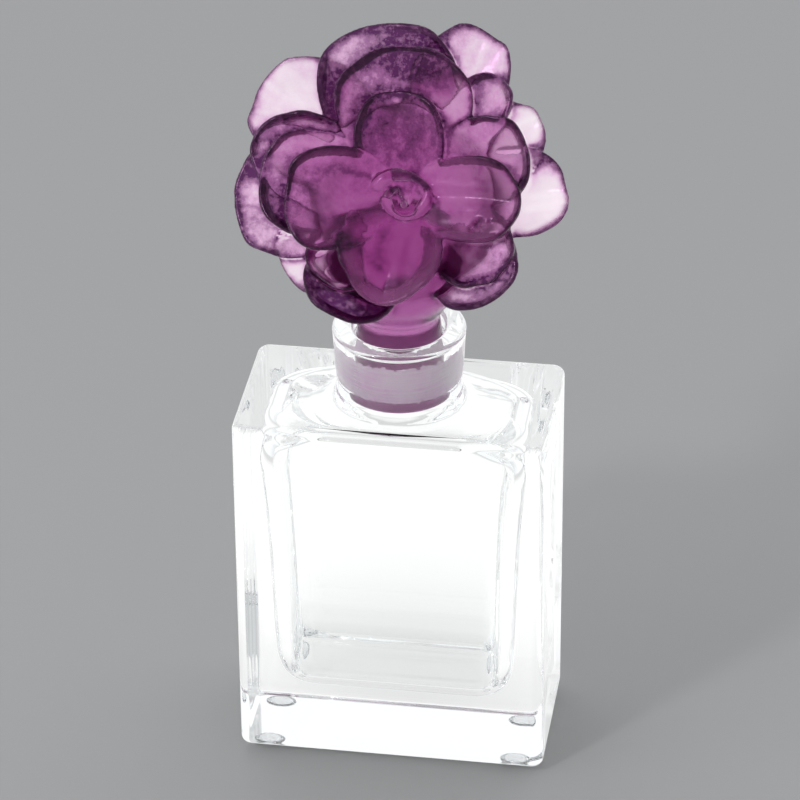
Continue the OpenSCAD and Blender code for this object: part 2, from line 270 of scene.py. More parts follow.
def outline(half_x, half_y, r):
    """RING_POINTS points round a rectangle with round corners, from the middle of its +X side."""
    quarter = RING_POINTS // 4
    arc = quarter // 2
    rise = (quarter - arc) // 2
    run = quarter - arc - rise
    pts = []
    for q in range(4):
        a, b = (half_x, half_y) if q % 2 == 0 else (half_y, half_x)
        up = [(a, (b - r) * (1 - (1 - t) ** 1.7)) for t in np.arange(rise) / rise]
        bend = [(a - r + r * math.cos(u), b - r + r * math.sin(u))
                for u in np.linspace(0, math.pi / 2, arc, endpoint=False)]
        back = [((a - r) * (1 - t ** 1.7), b) for t in np.arange(run) / run]
        for x, y in up + bend + back:
            pts.append([(x, y), (-y, x), (-x, -y), (y, -x)][q])
    return np.array(pts)


def circle(r):
    u = np.arange(RING_POINTS) * 2 * math.pi / RING_POINTS
    return np.stack([r * np.cos(u), r * np.sin(u)], 1)


def at_level(flat, z):
    return np.column_stack([flat, np.full(len(flat), z)])


def add_object(name, data):
    obj = bpy.data.objects.new(name, data)
    bpy.context.scene.collection.objects.link(obj)
    return obj


def skin(name, rings, first_pole, last_pole):
    """A closed mesh over a stack of equal rings, shut by a point at each end. Lengths in mm."""
    n = len(rings[0])
    verts = [first_pole] + [tuple(v) for ring in rings for v in ring] + [last_pole]
    last = len(verts) - 1
    faces = [(0, 1 + (k + 1) % n, 1 + k) for k in range(n)]
    for i in range(len(rings) - 1):
        for k in range(n):
            j = (k + 1) % n
            faces.append((1 + i * n + k, 1 + i * n + j, 1 + (i + 1) * n + j, 1 + (i + 1) * n + k))
    base = 1 + (len(rings) - 1) * n
    faces += [(last, base + k, base + (k + 1) % n) for k in range(n)]
    mesh = bpy.data.meshes.new(name)
    mesh.from_pydata([Vector(v) * MM for v in verts], [], faces)
    mesh.validate()
    mesh.shade_smooth()
    return add_object(name, mesh)


def evaluated_copy(obj, name):
    """A new object whose mesh is obj's with its modifiers applied."""
    bpy.context.view_layer.update()
    graph = bpy.context.evaluated_depsgraph_get()
    mesh = bpy.data.meshes.new_from_object(obj.evaluated_get(graph))
    mesh.name = name
    return mesh


def get_co(mesh):
    co = np.empty(len(mesh.vertices) * 3)
    mesh.vertices.foreach_get("co", co)
    return co.reshape(-1, 3)


def set_co(mesh, co):
    mesh.vertices.foreach_set("co", np.ascontiguousarray(co, np.float32).ravel())
    mesh.update()


def mesh_normals(mesh):
    normals = np.empty(len(mesh.vertices) * 3)
    mesh.vertices.foreach_get("normal", normals)
    return normals.reshape(-1, 3)


def noise_at(co, scale, seed):
    """Smooth noise from -1 to 1 at each point, for features about 1/scale across."""
    off = Vector((seed * 13.7, seed * 5.3, seed * 9.1))
    return np.array([noise.noise(Vector(c) * scale + off) for c in co])


# ---------------------------------------------------------------- node helpers
def new_material(name):
    mat = bpy.data.materials.new(name)
    mat.use_nodes = True
    nodes = mat.node_tree.nodes
    return mat, nodes, mat.node_tree.links, nodes["Principled BSDF"], nodes["Material Output"]


def noise_node(nodes, links, coords, scale, detail=3.0, roughness=0.5):
    n = nodes.new("ShaderNodeTexNoise")
    n.inputs["Scale"].default_value = scale
    n.inputs["Detail"].default_value = detail
    n.inputs["Roughness"].default_value = roughness
    links.new(coords, n.inputs["Vector"])
    return n.outputs["Fac"]


def map_range(nodes, links, value, lo, hi, to_lo, to_hi):
    n = nodes.new("ShaderNodeMapRange")
    for key, v in (("From Min", lo), ("From Max", hi), ("To Min", to_lo), ("To Max", to_hi)):
        n.inputs[key].default_value = v
    links.new(value, n.inputs["Value"])
    return n.outputs["Result"]


def math_node(nodes, links, operation, *inputs):
    """Output of a Math node whose inputs are numbers or sockets."""
    n = nodes.new("ShaderNodeMath")
    n.operation = operation
    for socket, value in zip(n.inputs, inputs):
        if isinstance(value, bpy.types.NodeSocket):
            links.new(value, socket)
        else:
            socket.default_value = value
    return n.outputs[0]


def attribute(nodes, name):
    n = nodes.new("ShaderNodeAttribute")
    n.attribute_name = name
    return n.outputs["Fac"]


def split_by_ray(nodes, links, seen_through_glass, seen_by_camera, target):
    """For the stage only: what the glass sees, and the plain backdrop that the camera sees."""
    mix = nodes.new("ShaderNodeMixShader")
    links.new(nodes.new("ShaderNodeLightPath").outputs["Is Camera Ray"], mix.inputs[0])
    links.new(seen_through_glass, mix.inputs[1])
    links.new(seen_by_camera, mix.inputs[2])
    links.new(mix.outputs[0], target.inputs["Surface"])


def bump(nodes, links, height, distance, strength, bsdf):
    n = nodes.new("ShaderNodeBump")
    n.inputs["Distance"].default_value = distance
    n.inputs["Strength"].default_value = strength
    links.new(height, n.inputs["Height"])
    links.new(n.outputs["Normal"], bsdf.inputs["Normal"])


def object_coords(nodes):
    return nodes.new("ShaderNodeTexCoord").outputs["Object"]


def clear_glass():
    """Fire-polished crystal: faint long waves and a trace of handling haze."""
    mat, nodes, links, bsdf, _ = new_material("clear_crystal")
    bsdf.inputs["Base Color"].default_value = (0.985, 0.995, 0.992, 1)
    bsdf.inputs["Transmission Weight"].default_value = 1
    bsdf.inputs["IOR"].default_value = GLASS_IOR
    coords = object_coords(nodes)
    haze = noise_node(nodes, links, coords, 60, 4)
    links.new(map_range(nodes, links, haze, 0.35, 0.75, 0.0, 0.02), bsdf.inputs["Roughness"])
    bump(nodes, links, noise_node(nodes, links, coords, 38, 1), 0.0002, 0.35, bsdf)
    return mat


def ground_glass():
    """The bore's ground band: fine satin with faint turning lines round it and a painted mauve
    glow.
    """
    mat, nodes, links, bsdf, _ = new_material("ground_crystal")
    bsdf.inputs["Transmission Weight"].default_value = 0.3
    bsdf.inputs["IOR"].default_value = GLASS_IOR
    coords = object_coords(nodes)
    grain = noise_node(nodes, links, coords, 1500, 3)
    links.new(map_range(nodes, links, grain, 0.2, 0.8, 0.38, 0.62), bsdf.inputs["Roughness"])
    stretch = nodes.new("ShaderNodeMapping")
    stretch.inputs["Scale"].default_value = (45, 45, 2400)
    links.new(coords, stretch.inputs["Vector"])
    lines = noise_node(nodes, links, stretch.outputs["Vector"], 1, 3)
    worn = noise_node(nodes, links, coords, 130, 4)
    both = math_node(nodes, links, "MULTIPLY_ADD", worn, 1.1, lines)
    tone = nodes.new("ShaderNodeMix")
    tone.data_type = "RGBA"
    links.new(map_range(nodes, links, both, 0.75, 1.2, 0, 1), tone.inputs["Factor"])
    # The mauve base is painted light: the purple plug's colour as the ground surface would scatter
    # it
    tone.inputs["A"].default_value = (0.96, 0.66, 0.93, 1)
    tone.inputs["B"].default_value = (1, 0.87, 0.99, 1)
    links.new(tone.outputs["Result"], bsdf.inputs["Base Color"])
    bump(nodes, links, lines, 0.0001, 0.7, bsdf)
    return mat


def purple_glass():
    """Cast purple glass: the colour is in the body, so thin petals are pale and the heart is deep.

    The back is more satin than the face. The rims are darker from colour powder gathered there
    together with painted shade, and the bands and streaks in the depth are painted shade.
    """
    mat, nodes, links, bsdf, out = new_material("purple_cast_glass")
    bsdf.inputs["Transmission Weight"].default_value = 1
    bsdf.inputs["IOR"].default_value = GLASS_IOR
    bsdf.inputs["Specular IOR Level"].default_value = 0.2
    bsdf.inputs["Specular Tint"].default_value = (0.80, 0.45, 0.78, 1)
    coords = object_coords(nodes)
    cloud = noise_node(nodes, links, coords, 420, 5, 0.65)
    rough = math_node(nodes, links, "MULTIPLY_ADD", cloud, 0.12, attribute(nodes, "satin"))
    links.new(rough, bsdf.inputs["Roughness"])
    specks = noise_node(nodes, links, coords, 750, 5, 0.7)
    specks = map_range(nodes, links, specks, 0.3, 0.7, 0.72, 1.28)
    ragged = math_node(nodes, links, "MULTIPLY", specks, attribute(nodes, "depth"))
    ramp = nodes.new("ShaderNodeValToRGB").color_ramp
    for _ in TONES[2:]:
        ramp.elements.new(0.5)
    for element, (at, colour) in zip(ramp.elements, TONES):
        element.position = at / DEEPEST
        element.color = (*colour, 1)
    links.new(ragged, nodes["Color Ramp"].inputs["Fac"])
    links.new(nodes["Color Ramp"].outputs["Color"], bsdf.inputs["Base Color"])
    bump(nodes, links, noise_node(nodes, links, coords, 300, 4, 0.6), 0.0003, 0.3, bsdf)
    body = nodes.new("ShaderNodeVolumeAbsorption")
    body.inputs["Color"].default_value = BODY_COLOUR
    body.inputs["Density"].default_value = BODY_DENSITY
    links.new(body.outputs["Volume"], out.inputs["Volume"])
    return mat


def bumper_plastic():
    """Clear soft polyurethane with a slightly dulled skin."""
    mat, nodes, links, bsdf, _ = new_material("clear_bumper")
    bsdf.inputs["Base Color"].default_value = (0.96, 0.97, 0.99, 1)
    bsdf.inputs["Transmission Weight"].default_value = 0.95
    bsdf.inputs["IOR"].default_value = 1.47
    coords = object_coords(nodes)
    wear = noise_node(nodes, links, coords, 900, 4)
    links.new(map_range(nodes, links, wear, 0.3, 0.7, 0.08, 0.3), bsdf.inputs["Roughness"])
    bump(nodes, links, noise_node(nodes, links, coords, 400, 2), 0.0002, 0.3, bsdf)
    return mat


# ---------------------------------------------------------------- bottle
def arc_rows(cx, cz, r, start, stop, steps):
    """Points of a quarter-round edge as (distance, level), angles in degrees from outward."""
    return [(cx + r * math.cos(u), cz + r * math.sin(u))
            for u in np.radians(np.linspace(start, stop, steps))]


def block_rings(under, top):
    """The outside of the block: underside, lower edge, walls, upper edge and the flat shoulder."""
    hw, hd = half_w / MM, half_d / MM
    rings = [at_level(outline(hw * s, hd * s, UPRIGHT_EDGE_R * s), under)
             for s in (0.15, 0.4, 0.7, 0.88)]
    low, high = under + RIM_EDGE_R, top - RIM_EDGE_R
    edge = [(-RIM_EDGE_R - 0.5, under)] + arc_rows(-RIM_EDGE_R, low, RIM_EDGE_R, -90, 0, 9)
    edge += [(0, low + 0.4)] + [(0, z) for z in np.linspace(low, high, 46)[1:-1]]
    edge += [(0, high - 0.4)] + arc_rows(-RIM_EDGE_R, high, RIM_EDGE_R, 0, 90, 9)
    edge.append((-RIM_EDGE_R - 0.5, top))
    for inset, z in edge:
        r = UPRIGHT_EDGE_R + inset if inset > -UPRIGHT_EDGE_R else 0.3
        rings.append(at_level(outline(hw + inset, hd + inset, r), z))
    return rings


def neck_profile():
    """Radius and level up the outside of the neck, over the lip and down to the bore's low end."""
    z0 = shoulder_mm
    lip = lip_z / MM
    bore_mm, bore_top, bore_bottom = bore_r / MM, bore_top_z / MM, bore_bottom_z / MM
    up = curve_through([
        (NECK_FOOT_R + 3.6, z0), (NECK_FOOT_R + 2.2, z0 + 0.12), (NECK_FOOT_R + 1.2, z0 + 0.6),
        (NECK_FOOT_R + 0.5, z0 + 1.5), (NECK_FOOT_R + 0.12, z0 + 2.8), (NECK_FOOT_R, z0 + 4.4),
        (NECK_FOOT_R + 0.3, z0 + 9), (NECK_LIP_R - 0.1, lip - LIP_R - 1.2),
        (NECK_LIP_R, lip - LIP_R),
    ], 42).tolist()
    over = arc_rows(NECK_LIP_R - LIP_R, lip - LIP_R, LIP_R, 8, 90, 12)
    mouth_r = bore_mm + MOUTH_WIDER
    inner_r = 1.3
    roll = arc_rows(mouth_r + inner_r, lip - inner_r, inner_r, 90, 180, 9)
    roll = [(r, z) for r, z in roll if r < NECK_LIP_R - LIP_R]
    fall = [(mouth_r, z) for z in np.linspace(lip - inner_r - 0.6, bore_top + 0.3, 5)]
    step = [(bore_mm + 0.2, bore_top + 0.15), (bore_mm, bore_top)]
    bore = [(bore_mm, bore_top - down) for down in BORE_ROWS]
    throat = [(bore_mm + 0.15, bore_bottom - 0.25), (bore_mm + 0.5, bore_bottom - 0.7)]
    return up, over + roll + fall + step, bore, throat


def make_bottle(clear, ground):
    under = glass_z / MM
    rings = block_rings(under, shoulder_mm)
    up, mouth, bore, throat = neck_profile()
    square = outline(half_w / MM - 3, half_d / MM - 3, 1)
    round_foot = circle(up[0][0])
    for t in (0.35, 0.7):
        flat = square * (1 - t) + round_foot * t
        rings.append(at_level(flat, shoulder_mm))
    for r, z in up + mouth:
        rings.append(at_level(circle(r), z))
    ground_from = len(rings) - 1
    rings += [at_level(circle(r), z) for r, z in bore]
    ground_to = len(rings) - 1
    rings += [at_level(circle(r), z) for r, z in throat]
    sections = curve_through(CAVITY, CAVITY_RINGS)[::-1]
    for level, hw, hd, r in sections:
        blend = min(1, max(0, (level - ROUND_FROM) / ROUND_OVER))
        flat = outline(hw, hd, min(r, hw - 0.01, hd - 0.01)) * (1 - blend) + circle(hw) * blend
        rings.append(at_level(flat, under + level))
    floor, hw, hd, r = CAVITY[0]
    for s in (0.75, 0.45, 0.15):
        rings.append(at_level(outline(hw * s, hd * s, r * s), under + floor - FLOOR_DISH * (1 - s)))
    obj = skin("bottle_glass", rings, (0, 0, under), (0, 0, under + floor - FLOOR_DISH))
    wave_walls(obj, under)
    obj.data.materials.append(clear)
    obj.data.materials.append(ground)
    n = RING_POINTS
    for row in range(ground_from, ground_to):
        level = BORE_ROWS[row - ground_from]
        for k in range(n):
            u = k * 2 * math.pi / n
            uneven = noise.noise(Vector((9 * math.cos(u), 9 * math.sin(u), 3)))
            start = GROUND_START + START_UNEVEN * uneven
            if start < level < GROUND_END + END_UNEVEN * uneven:
                obj.data.polygons[n + row * n + k].material_index = 1
    return obj


def wave_walls(obj, under):
    """Slow waves in the cavity's blown walls. The cut outside and the neck stay true."""
    mesh = obj.data
    co = get_co(mesh)
    level = co[:, 2] / MM - under
    inside = (np.abs(co[:, 0]) < 0.9 * half_w) & (np.abs(co[:, 1]) < 0.83 * half_d)
    inside &= (level > 13.5) & (level < ROUND_FROM)
    amount = np.where(inside, WALL_WAVE, 0) * MM
    slow = noise_at(co, 32, 1) + 0.15 * noise_at(co, 70, 2)
    set_co(mesh, co + mesh_normals(mesh) * (amount * slow)[:, None])


# ---------------------------------------------------------------- stopper
def to_bloom(co):
    """Points in the flower's own frame, millimetres: to the side, up its face and out of it."""
    rel = (co - np.array(bloom)) / MM
    return np.stack([rel @ np.array(axis) for axis in (bloom_side, bloom_up, bloom_out)], 1)


def from_bloom(flat):
    axes = np.array([bloom_side, bloom_up, bloom_out])
    return np.array(bloom) + flat @ axes * MM


def wavy(turn, seed, amount):
    """An uneven closed wave of the turn, different for each seed."""
    return amount * (0.5 * np.sin(2 * turn + 1.7 * seed) + 0.55 * np.sin(3 * turn + 2.9 * seed)
                     + 0.4 * np.sin(5 * turn + 4.1 * seed) + 0.3 * np.sin(8 * turn + 0.7 * seed))


def near(turn, angle, spread):
    """1 where a turn is at an angle in degrees, falling off round it."""
    away = (turn - math.radians(angle) + math.pi) % (2 * math.pi) - math.pi
    return np.exp(-away * away / spread)


def total_at(turn, places):
    return sum(size * near(turn, angle, spread) for angle, spread, size in places)


def petal_rows(tier, wedge):
    """Rows from the middle of the face round the rim to the middle of the back.

    Each is a share of the way to the outline, or an inset from it in millimetres, with a height
    above the middle surface and how much of the rim's lift it takes. A wedge thins out to its rim.
    """
    face, bead, depth = tier["face"], tier["bead"], tier["depth"]
    rows = [("share", q, face, max(0, (q - 0.5) / 0.5) ** 2.2)
            for q in (0.06, 0.14, 0.24, 0.34, 0.44, 0.54, 0.63, 0.71, 0.78, 0.84)]
    for u in np.radians([110, 90, 65, 40, 15]):
        rows.append(("inset", bead - bead * math.cos(u), face - bead + bead * math.sin(u), 1))
    rows.append(("inset", 0.02, face - bead - 0.3, 0.9))
    if wedge:
        rows += [("inset", 0.35, -0.35, 0.7), ("inset", 1.1, -1.0, 0.3)]
        rows += [("share", q, -depth * deep, 0)
                 for q, deep in ((0.78, 0.45), (0.6, 0.8), (0.4, 1), (0.2, 1))]
    else:
        rows += [("inset", 0.3, (face - depth) / 2, 0.4), ("inset", 0.7, 0.8 - depth, 0)]
        rows.append(("inset", 1.4, -depth, 0))
        rows += [("share", q, -depth, 0) for q in (0.7, 0.45, 0.2)]
    return rows


def petal_solid(name):
    """One petal as a closed loft round the frame's petal: a dished face, a rolled rim and a wall.

    Returns its points in the flower's frame, its faces, and its layout for petal_depth.
    """
    seed = PETALS.index(name) + 1
    tier = TIERS[name.split("_")[0]]
    look = {"shape": [], "fold": [], "dark": [], "stain": [], "cast": [], "crease": 0.4,
            "tone": tier["tone"], "wedge": False, **PETAL_LOOKS.get(name, {})}
    source = frame["nodes"][name].data
    cad = to_bloom(get_co(source))
    tree = BVHTree.FromPolygons([Vector(c) for c in cad],
                                [tuple(p.vertices) for p in source.polygons])
    heading = math.atan2(cad[:, 0].mean(), cad[:, 1].mean())
    along_dir = np.array([math.sin(heading), math.cos(heading)])
    across_dir = np.array([along_dir[1], -along_dir[0]])
    along, across = cad[:, :2] @ along_dir, cad[:, :2] @ across_dir
    root, reach = along.min(), along.max()
    half = np.abs(across).max() * (1 - tier["ruffle"])
    half_len = (reach - root) / 2
    centre = root + half_len
    half_len *= 1 - tier["ruffle"]

    def middle(x, y):
        """Height of the middle of the frame's petal."""
        at = x * across_dir + y * along_dir
        top = tree.ray_cast(Vector((at[0], at[1], 60)), Vector((0, 0, -1)))[0]
        low = tree.ray_cast(Vector((at[0], at[1], -60)), Vector((0, 0, 1)))[0]
        return (top.z + low.z) / 2 if top and low else None

    turns = np.arange(PETAL_STEPS) * 2 * math.pi / PETAL_STEPS
    ends = 0.3 + 0.7 * np.maximum(0, np.cos(turns))
    lobes = 1 + 0.02 * np.cos(3 * turns) + wavy(turns, seed, tier["ruffle"]) * ends
    lobes = lobes + total_at(turns, look["shape"])
    side, tip = np.sin(turns), np.cos(turns)
    outs = half * np.copysign(np.abs(side) ** 0.9, side) * (1 + 0.12 * tip) * lobes
    ups = half_len * np.copysign(np.abs(tip) ** 0.9, tip) * lobes
    folds = wavy(turns, seed + 3, 0.3) + total_at(turns, look["fold"])
    points = []
    rows = petal_rows(tier, look["wedge"])
    for kind, value, height, lifted in rows:
        for px, py, lobe, fold in zip(outs, ups, lobes, folds):
            size = math.hypot(px, py)
            q = value if kind == "share" else 1 - value / size
            x, y = px * q, centre + py * q
            share = (y - root) / (reach - root)
            m = middle(px * min(q, 0.93) / max(1, lobe), centre + py * min(q, 0.93) / max(1, lobe))
            if m is None:
                m = middle(px * 0.75, centre + py * 0.75)
            rise = tier["lift"] * lifted * min(1, max(0, (share - 0.15) / 0.3))
            if height > -0.5:
                crease = math.exp(-(x / (0.13 * half)) ** 2) * min(1, max(0, share - 0.15) * 3) * q
                rise -= look["crease"] * crease * (1 if q < 0.9 else 0.4)
                veins = math.cos(8.5 * x / half + 1.3 * seed + 2 * share)
                veins += 0.6 * math.cos(17 * x / half - seed)
                rise += 0.17 * veins * math.sin(math.pi * min(1, max(0, share))) * (1 - q ** 6)
                rise += fold * q ** 3
            points.append((*(x * across_dir + y * along_dir), m + height + rise))
    n = PETAL_STEPS
    count = len(rows)
    faces = [(i * n + k, i * n + (k + 1) % n, (i + 1) * n + (k + 1) % n, (i + 1) * n + k)
             for i in range(count - 1) for k in range(n)]
    for first, flip in ((0, True), ((count - 1) * n, False)):
        points.append(tuple(np.mean(points[first:first + n], axis=0)))
        for k in range(n):
            pair = (first + k, first + (k + 1) % n)
            faces.append((len(points) - 1, *(pair[::-1] if flip else pair)))
    points = np.array(points)
    rim = next(i for i, row in enumerate(rows) if row[0] == "inset") + 2
    layout = {"seed": seed, "tier": tier, "look": look, "across": across_dir, "along": along_dir,
              "centre": centre, "half": half, "root": root, "reach": reach, "turns": turns,
              "aims": np.arctan2(outs, ups), "sizes": np.hypot(outs, ups),
              "heights": points[rim * n:(rim + 1) * n, 2]}
    return points, faces, layout


def seen_from(layout, flat):
    """Where points lie against a petal's outline.

    Gives the place across, turn, distance inside the outline, the outline's size and height there,
    and the share of the way from root to tip.
    """
    x, y = flat[:, :2] @ layout["across"], flat[:, :2] @ layout["along"] - layout["centre"]
    aim = np.arctan2(x, y)
    order = np.argsort(layout["aims"])
    known = layout["aims"][order]
    turned = (layout["turns"][order] + math.pi) % (2 * math.pi) - math.pi
    turn = np.interp(aim, known, turned)
    size = np.interp(aim, known, layout["sizes"][order], period=2 * math.pi)
    height = np.interp(aim, known, layout["heights"][order], period=2 * math.pi)
    share = (y + layout["centre"] - layout["root"]) / (layout["reach"] - layout["root"])
    return x, turn, size - np.hypot(x, y), size, height, share


def petal_depth(layout, flat):
    """Colour depth on a petal's own surface: its streaks, stains, and dark rim of powder and
    painted shade.
    """
    seed, tier, look = layout["seed"], layout["tier"], layout["look"]
    x, turn, gap, size, _, share = seen_from(layout, flat)
    grain = np.stack([3.2 * x / layout["half"], 1.2 * share, np.full(len(x), 5.7 * seed)], 1)
    streak = noise_at(grain, 1, seed) + 0.6 * noise_at(grain, 2.7, seed + 1)
    stain = total_at(turn, look["stain"]) * np.clip(1 - gap / size, 0, 1)
    tone = look["tone"] + 0.36 * streak + stain
    tone += 0.5 * np.clip((0.42 - share) / 0.42, 0, 1) * (look["tone"] < 0.8)
    width = tier["rim"] * (0.65 + wavy(turn, seed + 7, 0.25)) + total_at(turn, look["dark"])
    brush = np.stack([9 * turn, np.full(len(x), 2.3 * seed), 0.15 * gap], 1)
    width = np.maximum(width * (1 + 0.35 * noise_at(brush, 1, seed)), 0.08)
    width *= np.clip((share - 0.1) / 0.3, 0.15, 1)
    # The dark rim: colour powder along the rim together with painted shade, where the steep rim
    # wall turns the light away
    dark = np.exp(-(np.maximum(gap, 0) / width) ** 2) * np.clip((share - 0.25) / 0.25, 0, 1)
    return np.maximum(tone, 0) + RIM_TONE * dark


def painted_cast_shade(layout, flat):
    """Painted shadow that a petal's rim throws on the petals behind and outside it, and where it
    covers them.
    """
    tier, look = layout["tier"], layout["look"]
    _, turn, gap, _, height, share = seen_from(layout, flat)
    brush = np.stack([6 * turn, np.full(len(turn), 3.1 * layout["seed"]), 0 * turn], 1)
    uneven = 0.9 + wavy(turn, layout["seed"] + 5, 0.35) + 0.5 * noise_at(brush, 1, 5)
    width = tier["shade"] * uneven
    width += total_at(turn, look["cast"])
    behind = height - flat[:, 2]
    reached = (gap < 0) * np.clip((behind + 2) / 1.5, 0, 1) * np.clip((9 - behind) / 5, 0, 1)
    dark = np.exp(-(gap / np.maximum(width, 0.3)) ** 2) * reached
    dark = dark * np.clip((share - 0.2) / 0.25, 0, 1)
    return dark, np.clip(gap / 0.8, 0, 1) * np.clip((behind - 1) / 0.6, 0, 1)


def bud_tubes():
    """The rolled bud: a crescent ridge that winds in on itself, with a few small knobs."""
    ridge = []
    for k in range(80):
        t = k / 79
        u = math.radians(165 - 400 * t)
        r = 5.9 - 2.9 * t + 0.55 * math.sin(11 * t) + 0.25 * math.sin(23 * t)
        ridge.append((1.1 * r * math.cos(u) + 0.6, 0.85 * r * math.sin(u) - 0.6,
                      1.9 + 0.8 * math.sin(8 * t + 0.3), 1.25 - 0.55 * t + 0.3 * math.sin(17 * t)))
    knobs = [
        [(1.6, 1.2, 2.0, 0.9), (1.9, 1.4, 2.9, 0.6)],
        [(-1.4, 0.9, 2.0, 1.0), (-1.7, 1.2, 3.0, 0.6)],
        [(0.4, -2.0, 2.0, 1.0), (0.6, -2.3, 2.8, 0.7)],
        [(-2.6, -1.8, 1.6, 1.2), (-3.2, -2.4, 2.4, 0.9)],
        [(-3.0, 2.6, 1.4, 0.9), (-6.6, 4.0, 1.7, 0.5)],
        [(-0.2, -0.4, 2.0, 0.8), (0.2, 0.2, 2.8, 0.45)],
    ]
    return [ridge] + knobs


def tube(path, sides=14):
    """A closed round tube along points (x, y, z, radius)."""
    pts = np.array([p[:3] for p in path], float)
    radii = [p[3] for p in path]
    steps = np.gradient(pts, axis=0)
    verts, faces = [], []
    for p, d, r in zip(pts, steps, radii):
        d = d / max(np.linalg.norm(d), 1e-9)
        side = np.cross(d, (0, 0, 1) if abs(d[2]) < 0.9 else (1, 0, 0))
        side /= np.linalg.norm(side)
        lift = np.cross(side, d)
        for k in range(sides):
            u = 2 * math.pi * k / sides
            verts.append(p + r * (math.cos(u) * side + math.sin(u) * lift))
    n = sides
    for i in range(len(pts) - 1):
        for k in range(n):
            j = (k + 1) % n
            faces.append((i * n + k, (i + 1) * n + k, (i + 1) * n + j, i * n + j))
    faces.append(tuple(range(n)))
    faces.append(tuple(reversed(range((len(pts) - 1) * n, len(pts) * n))))
    return np.array(verts), faces


def grown_together():
    """Petals, bud, calyx, stem and plug in one mesh, still to be fused.

    Also returns every point, which petal it belongs to (-1 for the rest), and the petals' layouts.
    """
    verts, faces, owners, layouts = [], [], [], []
    total = 0

    def add(co, polygons, owner):
        nonlocal total
        verts.append(co)
        faces.extend(tuple(total + i for i in p) for p in polygons)
        owners.append(np.full(len(co), owner))
        total += len(co)

    for name in PETALS:
        points, polygons, layout = petal_solid(name)
        add(from_bloom(points), polygons, len(layouts))
        layouts.append(layout)
    for path in bud_tubes():
        points, polygons = tube(path)
        add(from_bloom(points), polygons, -1)
    for name in ("stopper_plug", "stopper_stem", "flower_calyx"):
        source = frame["nodes"][name].data
        add(get_co(source), [tuple(p.vertices) for p in source.polygons], -1)
    mesh = bpy.data.meshes.new("stopper_parts")
    mesh.from_pydata(np.concatenate(verts).tolist(), [], faces)
    mesh.update()
    return mesh, np.concatenate(verts), np.concatenate(owners), layouts


def keep_largest(mesh):
    """Keeps the largest connected shell and drops the tiny loose ones that the fusing leaves."""
    shape = bmesh.new()
    shape.from_mesh(mesh)
    left = set(shape.verts)
    shells = []
    while left:
        shell = []
        todo = [left.pop()]
        while todo:
            vert = todo.pop()
            shell.append(vert)
            for edge in vert.link_edges:
                other = edge.other_vert(vert)
                if other in left:
                    left.remove(other)
                    todo.append(other)
        shells.append(shell)
    shells.sort(key=len)
    for shell in shells[:-1]:
        bmesh.ops.delete(shape, geom=shell, context="VERTS")
    shape.to_mesh(mesh)
    shape.free()


def make_stopper(purple):
    mesh, source_co, owners, layouts = grown_together()
    parts = add_object("tmp_parts", mesh)
    fuse = parts.modifiers.new("fuse", "REMESH")
    fuse.mode = "VOXEL"
    fuse.voxel_size = STOPPER_VOXEL
    smooth = parts.modifiers.new("smooth", "SMOOTH")
    smooth.factor = 0.5
    smooth.iterations = 4
    mesh = evaluated_copy(parts, "stopper_glass")
    bpy.data.objects.remove(parts)
    keep_largest(mesh)
    ease_stem(mesh)
    hand_work(mesh)
    keep_inside(mesh)
    true_up_plug(mesh)
    mark_surface(mesh, source_co, owners, layouts)
    mesh.shade_smooth()
    obj = add_object("stopper_glass", mesh)
    mesh.materials.clear()
    mesh.materials.append(purple)
    return obj


def hand_work(mesh):
    """Small lumps all over the flower, and the pits that the mould left in its face."""
    co = get_co(mesh)
    normals = mesh_normals(mesh)
    grip = np.clip((co[:, 2] - (lip_z + 4 * MM)) / (10 * MM), 0, 1)
    lumps = 0.16 * noise_at(co, 140, 3) + 0.08 * noise_at(co, 330, 4)
    co = co + normals * (lumps * grip * MM)[:, None]
    flat = to_bloom(co)
    for x, y, r, deep in PITS:
        away = np.hypot(flat[:, 0] - x, flat[:, 1] - y)
        front = (normals @ np.array(bloom_out)) > 0.2
        push = np.where(front, deep * np.exp(-(away / r) ** 2), 0)
        co = co - np.outer(push * MM, np.array(bloom_out))
    set_co(mesh, co)


def spread(values, edges, count, rounds):
    """Values evened out over the mesh by averaging along its edges."""
    degree = np.bincount(edges.ravel(), minlength=count)
    for _ in range(rounds):
        total = np.bincount(edges[:, 0], weights=values[edges[:, 1]], minlength=count)
        total += np.bincount(edges[:, 1], weights=values[edges[:, 0]], minlength=count)
        values = 0.5 * values + 0.5 * total / np.maximum(degree, 1)
    return values


def mesh_edges(mesh):
    edges = np.empty(len(mesh.edges) * 2, dtype=np.int64)
    mesh.edges.foreach_get("vertices", edges)
    return edges.reshape(-1, 2)


def ease_stem(mesh):
    """Melts the steps between the stem, the calyx and the backs of the petals."""
    co = get_co(mesh)
    edges = mesh_edges(mesh)
    soft = np.stack([spread(co[:, k], edges, len(co), 60) for k in range(3)], 1)
    level = (co[:, 2] - lip_z) / MM
    out = to_bloom(co)[:, 2]
    amount = np.clip((level - 2) / 3, 0, 1) * np.clip((-2 - out) / 4, 0, 1)
    set_co(mesh, co + (soft - co) * amount[:, None])


